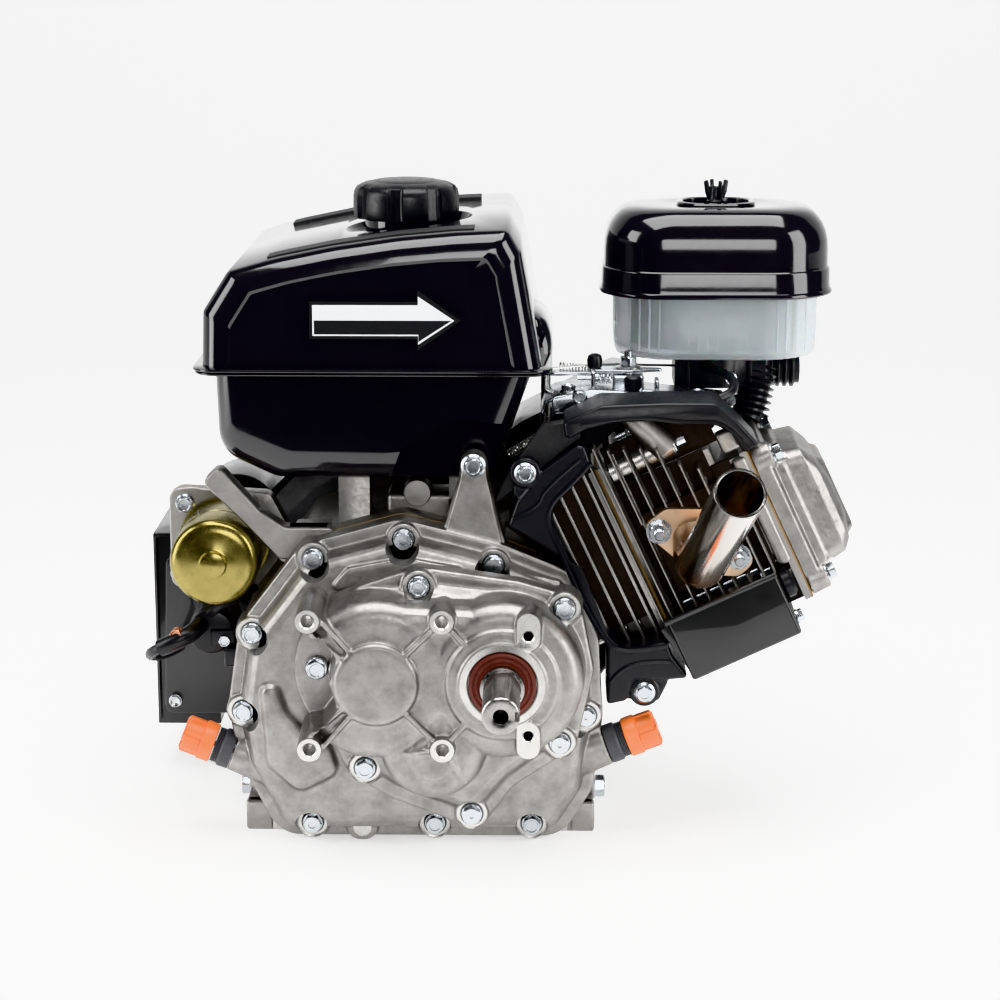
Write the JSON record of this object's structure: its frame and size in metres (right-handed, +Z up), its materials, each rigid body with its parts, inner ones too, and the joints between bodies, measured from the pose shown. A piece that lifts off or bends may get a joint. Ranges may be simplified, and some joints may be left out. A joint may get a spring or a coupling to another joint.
{
  "type": "small gasoline engine",
  "caption": "Horizontal-shaft air-cooled petrol engine with a chain reduction case, inclined cylinder, fuel tank, air cleaner and open exhaust stub.",
  "frame": {"origin": "centre of the base bolt pattern, in the plane under the feet", "axes": "-Y out of the reduction shaft, +X to the cylinder side, +Z up"},
  "size_m": [0.5178, 0.429, 0.46],
  "materials": {
    "cast_aluminium": "satin as-cast",
    "zinc_steel": "zinc plated",
    "bright_steel": "ground",
    "polished_pipe": "polished",
    "black_gloss": "gloss enamel",
    "black_sheet": "semi-gloss enamel",
    "black_plastic": "moulded",
    "dark_neck": "moulded",
    "orange_plastic": "moulded",
    "clear_bowl": "translucent",
    "filter_paper": "pleated",
    "gold_chromate": "yellow chromate",
    "seal_rubber": "moulded",
    "gasket_sheet": "fibre sheet",
    "cast_iron": "machined",
    "pale_ceramic": "glazed"
  },
  "bodies": {
    "engine": {"crankcase": "cast_aluminium", "crankcase_cover": "cast_aluminium", "gear_case": "cast_aluminium", "gaskets": "gasket_sheet", "case_bolts": "zinc_steel", "large_bolts": "zinc_steel", "small_screws": "zinc_steel", "ball_bearings": "bright_steel", "output_seal": "seal_rubber", "cylinder_head": "cast_aluminium", "rocker_cover": "cast_aluminium", "rocker_shaft": "bright_steel", "valve_springs": "bright_steel", "spark_plug": "pale_ceramic", "ignition_coil": "black_plastic", "fan_cover": "black_sheet", "recoil_cover": "black_sheet", "tank_upper_shell": "black_gloss", "tank_lower_shell": "black_gloss", "air_cleaner_bowl": "clear_bowl", "filter_element": "filter_paper", "air_cleaner_elbow": "black_plastic", "carburetor": "cast_aluminium", "control_bracket": "zinc_steel", "exhaust_pipe": "polished_pipe", "cylinder_shroud": "black_plastic", "side_air_guide": "black_sheet", "starter_motor": "gold_chromate", "starter_solenoid": "black_plastic", "oil_necks": "dark_neck", "control_box": "black_sheet", "reduction_chain": "bright_steel"},
    "crank": {"crankshaft": "bright_steel", "timing_gear": "bright_steel", "drive_sprocket": "bright_steel", "flywheel": "cast_iron", "cooling_fan": "black_plastic", "starter_cup": "cast_aluminium"},
    "output": {"output_shaft": "bright_steel", "driven_sprocket": "bright_steel"},
    "cam": {"camshaft": "bright_steel"},
    "piston_train": {"piston": "cast_aluminium", "wrist_pin": "bright_steel", "connecting_rod": "cast_aluminium", "crank_pin": "bright_steel"},
    "intake_rocker_arm": {"intake_rocker": "bright_steel"},
    "exhaust_rocker_arm": {"exhaust_rocker": "bright_steel"},
    "intake_valve_body": {"intake_valve": "bright_steel"},
    "exhaust_valve_body": {"exhaust_valve": "bright_steel"},
    "intake_pushrod_body": {"intake_pushrod": "bright_steel"},
    "exhaust_pushrod_body": {"exhaust_pushrod": "bright_steel"},
    "fuel_cap_body": {"fuel_cap": "black_plastic"},
    "oil_cap_left_body": {"oil_cap_left": "orange_plastic"},
    "oil_cap_right_body": {"oil_cap_right": "orange_plastic"},
    "cleaner_cover_body": {"air_cleaner_cover": "black_gloss"},
    "wing_nut_body": {"wing_nut": "black_plastic"},
    "choke_body": {"choke_lever": "zinc_steel"},
    "control_lever_body": {"control_lever": "zinc_steel"},
    "governor_body": {"governor_arm": "zinc_steel"},
    "recoil_handle_body": {"recoil_handle": "black_plastic"}
  },
  "joints": [
    {"name": "crank_spin", "type": "hinge", "parent": "engine", "child": "crank", "pos_m": [-0.026, 0, 0.1375], "axis": [0, 1, 0], "continuous": true, "deforming": ["reduction_chain"]},
    {"name": "output_spin", "type": "hinge", "parent": "engine", "child": "output", "pos_m": [0.05957, 0, 0.1375], "axis": [0, 1, 0], "continuous": true},
    {"name": "cam_spin", "type": "hinge", "parent": "engine", "child": "cam", "pos_m": [0.00466, 0, 0.07235], "axis": [0, 1, 0], "continuous": true},
    {"name": "piston_stroke", "type": "slide", "parent": "engine", "child": "piston_train", "axis": [0.9048, 0, 0.4258], "range_m": [0, 0.064]},
    {"name": "intake_rocker_tilt", "type": "hinge", "parent": "engine", "child": "intake_rocker_arm", "pos_m": [0.25689, 0, 0.21978], "axis": [0, -1, 0], "range_deg": [0, 11.46]},
    {"name": "intake_valve_lift", "type": "slide", "parent": "engine", "child": "intake_valve_body", "axis": [-0.9048, 0, -0.4258], "range_m": [0, 0.0058], "deforming": ["valve_springs"]},
    {"name": "intake_pushrod_lift", "type": "slide", "parent": "engine", "child": "intake_pushrod_body", "axis": [0.9048, 0, 0.4258], "range_m": [0, 0.0046]},
    {"name": "exhaust_rocker_tilt", "type": "hinge", "parent": "engine", "child": "exhaust_rocker_arm", "pos_m": [0.25689, 0, 0.21978], "axis": [0, -1, 0], "range_deg": [0, 11.46]},
    {"name": "exhaust_valve_lift", "type": "slide", "parent": "engine", "child": "exhaust_valve_body", "axis": [-0.9048, 0, -0.4258], "range_m": [0, 0.0058], "deforming": ["valve_springs"]},
    {"name": "exhaust_pushrod_lift", "type": "slide", "parent": "engine", "child": "exhaust_pushrod_body", "axis": [0.9048, 0, 0.4258], "range_m": [0, 0.0046]},
    {"name": "fuel_cap_lift", "type": "slide", "parent": "engine", "child": "fuel_cap_body", "axis": [0, 0, 1], "range_m": [0, 0.08]},
    {"name": "oil_cap_left_pull", "type": "slide", "parent": "engine", "child": "oil_cap_left_body", "axis": [-0.9326, 0, 0.361], "range_m": [0, 0.06]},
    {"name": "oil_cap_right_pull", "type": "slide", "parent": "engine", "child": "oil_cap_right_body", "axis": [0.9326, 0, 0.361], "range_m": [0, 0.06]},
    {"name": "cleaner_cover_lift", "type": "slide", "parent": "engine", "child": "cleaner_cover_body", "axis": [0, 0, 1], "range_m": [0, 0.12]},
    {"name": "wing_nut_unscrew", "type": "slide", "parent": "cleaner_cover_body", "child": "wing_nut_body", "axis": [0, 0, 1], "range_m": [0, 0.04]},
    {"name": "choke_turn", "type": "hinge", "parent": "engine", "child": "choke_body", "pos_m": [0.20534, 0.084, 0], "axis": [0, 0, 1], "range_deg": [0, 60]},
    {"name": "control_lever_turn", "type": "hinge", "parent": "engine", "child": "control_lever_body", "pos_m": [0.147, 0.011, 0.32], "axis": [0, 0, 1], "range_deg": [-25, 30]},
    {"name": "governor_turn", "type": "hinge", "parent": "engine", "child": "governor_body", "pos_m": [0.088, 0.024, 0.3], "axis": [0, 0, 1], "range_deg": [-12, 14]},
    {"name": "recoil_pull", "type": "slide", "parent": "engine", "child": "recoil_handle_body", "axis": [-0.7071, 0, 0.7071], "range_m": [0, 0.25]}
  ],
  "couplings": [
    {"joint": "output_spin", "follows": "crank_spin", "ratio": 0.5},
    {"joint": "cam_spin", "follows": "crank_spin", "ratio": -0.5},
    {"joint": "intake_valve_lift", "follows": "intake_rocker_tilt", "m_per_rad": 0.0275},
    {"joint": "intake_pushrod_lift", "follows": "intake_rocker_tilt", "m_per_rad": 0.0215},
    {"joint": "exhaust_valve_lift", "follows": "exhaust_rocker_tilt", "m_per_rad": 0.0275},
    {"joint": "exhaust_pushrod_lift", "follows": "exhaust_rocker_tilt", "m_per_rad": 0.0215}
  ]
}
